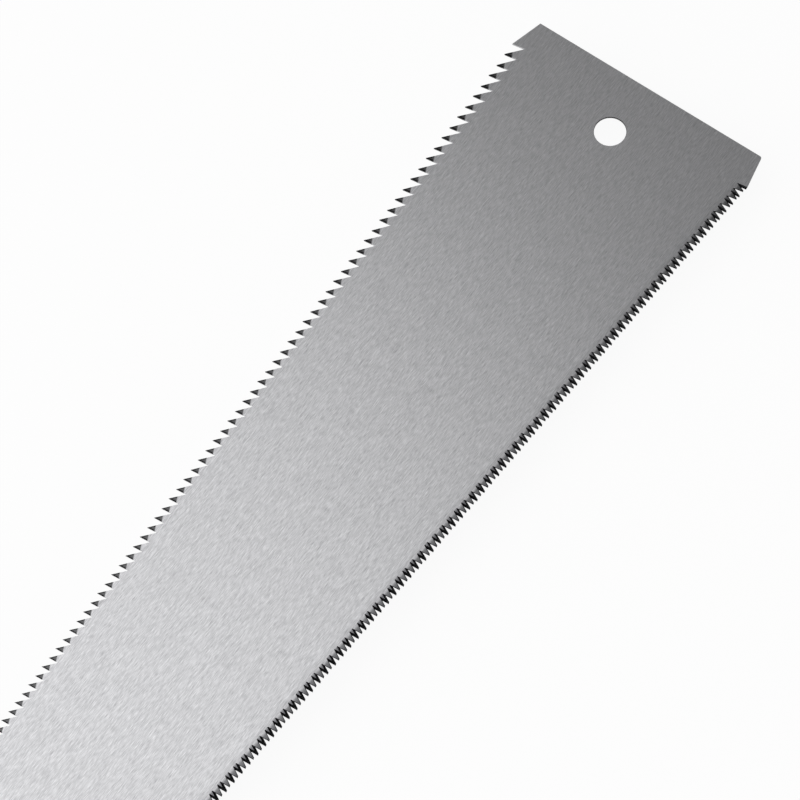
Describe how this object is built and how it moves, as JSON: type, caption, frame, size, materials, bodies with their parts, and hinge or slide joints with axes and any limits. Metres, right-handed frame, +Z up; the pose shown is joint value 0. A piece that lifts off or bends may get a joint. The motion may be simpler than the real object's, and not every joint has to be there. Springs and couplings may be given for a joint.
{
  "type": "double-edged pull saw",
  "caption": "Double-edged pull saw with a replaceable thin steel blade, crosscut teeth on one edge and rip teeth on the other, in a clamped holder on a long wooden handle.",
  "frame": {"origin": "on the table under the middle of the saw, which lies flat on its handle", "axes": "+X along the saw to the toe of the blade, +Y to the rip edge, +Z up, square to the blade"},
  "size_m": [0.6656, 0.0814, 0.024],
  "materials": {
    "blade_steel": "satin, brushed along its length, with dark hardened tooth tips",
    "holder_steel": "nickel-plated, satin",
    "spacer_steel": "plain rolled",
    "rivet_steel": "bright",
    "screw_steel": "zinc-plated",
    "spring_steel": "black oxide",
    "knob_brass": "turned",
    "nut_brass": "turned",
    "ferrule_steel": "nickel-plated, satin",
    "fitting_brass": "polished",
    "beech": "clear oil",
    "dowel_beech": "bare"
  },
  "bodies": {
    "handle": {"handle_upper": "beech", "handle_lower": "beech", "alignment_dowels": "dowel_beech", "ferrule": "ferrule_steel", "ferrule_nails": "fitting_brass", "handle_barrels": "fitting_brass", "handle_screws": "fitting_brass", "hang_eyelet": "fitting_brass", "upper_cheek": "holder_steel", "lower_cheek": "holder_steel", "spacer_plate": "spacer_steel", "hook_pin": "rivet_steel", "holder_rivets": "rivet_steel", "clamp_nut": "nut_brass"},
    "blade": {"blade": "blade_steel"},
    "clamp_washers": {"flat_washer": "screw_steel", "spring_washer": "spring_steel"},
    "clamp_screw": {"clamp_screw": "screw_steel", "clamp_knob": "knob_brass", "retaining_clip": "spring_steel"}
  },
  "joints": [
    {"name": "blade_swing", "type": "hinge", "parent": "handle", "child": "blade", "pos_m": [0.00217, 0, 0.012], "axis": [0, 0, 1], "range_deg": [0, 35]},
    {"name": "clamp_rise", "type": "slide", "parent": "handle", "child": "clamp_washers", "axis": [0, 0, 1], "range_m": [0, 0.00161]},
    {"name": "clamp_turn", "type": "hinge", "parent": "clamp_washers", "child": "clamp_screw", "pos_m": [0.02217, 0, 0.012], "axis": [0, 0, 1], "range_deg": [0, 720]}
  ],
  "couplings": [
    {"joint": "clamp_rise", "follows": "clamp_turn", "m_per_rad": 0.00012732}
  ]
}
